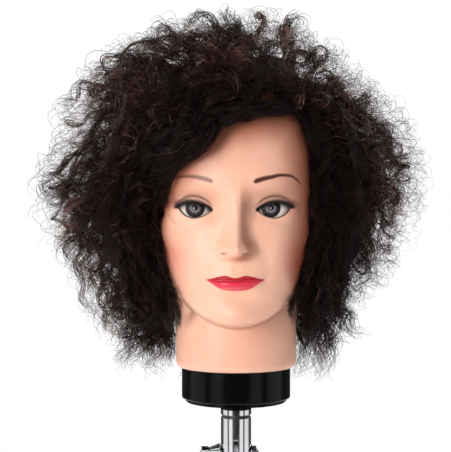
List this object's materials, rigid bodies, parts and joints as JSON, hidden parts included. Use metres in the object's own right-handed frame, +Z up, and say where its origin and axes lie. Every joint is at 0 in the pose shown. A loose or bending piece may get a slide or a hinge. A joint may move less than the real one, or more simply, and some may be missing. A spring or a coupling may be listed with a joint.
{
  "type": "mannequin training head",
  "caption": "Hairdressing practice head with curly hair and painted face on a swivelling, tilting post with a table clamp.",
  "frame": {"origin": "centre of the upper jaw's rubber face, which rests on the table top, on the post's axis", "axes": "+Z up the post, the face looks along -Y, +X to the viewer's right"},
  "size_m": [0.344, 0.27, 0.583],
  "materials": {
    "frame_paint": "satin",
    "rubber": "matte",
    "chrome": "polished",
    "steel": "satin",
    "dark_steel": "satin",
    "black_gloss": "gloss",
    "black_plastic": "satin",
    "vinyl_skin": "satin",
    "foam": "matte",
    "eye": "gloss",
    "hair": "satin"
  },
  "bodies": {
    "clamp": {"clamp_frame": "frame_paint", "jaw_pad": "rubber", "lower_tube": "chrome", "tube_set_screw": "dark_steel", "tilt_knuckle": "steel"},
    "shoe": {"clamp_shoe": "chrome", "shoe_facing": "rubber"},
    "screw": {"clamp_screw": "chrome"},
    "handle_bar": {"tommy_bar": "chrome", "bar_caps": "black_plastic"},
    "tilt_post": {"upper_tube": "chrome", "fork_insert": "steel", "pivot_bolt": "steel", "dome_nut": "dark_steel", "pivot_washers": "chrome", "spindle": "steel", "retaining_ring": "dark_steel", "thrust_washer": "black_plastic"},
    "lock_lever": {"lever_hub": "black_plastic", "lever_cap": "chrome", "lever_arm": "chrome", "lever_grip": "black_plastic"},
    "swivel": {"swivel_ferrule": "chrome", "head_spigot": "black_gloss", "spigot_cap": "black_plastic"},
    "head": {"base_drum": "black_gloss", "base_cover": "black_gloss", "cover_screws": "steel", "head_skin": "vinyl_skin", "foam_core": "foam", "eye_left": "eye", "eye_right": "eye", "hair_crown": "hair", "hair_fringe": "hair", "hair_left": "hair", "hair_right": "hair", "hair_back": "hair"}
  },
  "joints": [
    {"name": "shoe_travel", "type": "slide", "parent": "clamp", "child": "shoe", "axis": [0, 0, 1], "range_m": [-0.0225, 0.0225]},
    {"name": "screw_turn", "type": "hinge", "parent": "shoe", "child": "screw", "pos_m": [0, 0, -0.06], "axis": [0, 0, 1], "range_deg": [-1980, 1980]},
    {"name": "bar_slide", "type": "slide", "parent": "screw", "child": "handle_bar", "axis": [1, 0, 0], "range_m": [-0.016, 0.016]},
    {"name": "tilt", "type": "hinge", "parent": "clamp", "child": "tilt_post", "pos_m": [0, 0, 0.0882], "axis": [1, 0, 0], "range_deg": [-30, 45]},
    {"name": "lever_turn", "type": "hinge", "parent": "tilt_post", "child": "lock_lever", "pos_m": [-0.0185, 0, 0.0882], "axis": [1, 0, 0], "range_deg": [-60, 60]},
    {"name": "swivel_turn", "type": "hinge", "parent": "tilt_post", "child": "swivel", "pos_m": [0, 0, 0.13], "axis": [0, 0, 1], "continuous": true},
    {"name": "head_lift", "type": "slide", "parent": "swivel", "child": "head", "axis": [0, 0, 1], "range_m": [0, 0.07]}
  ],
  "couplings": [
    {"joint": "shoe_travel", "follows": "screw_turn", "m_per_rad": 0.00063662}
  ]
}
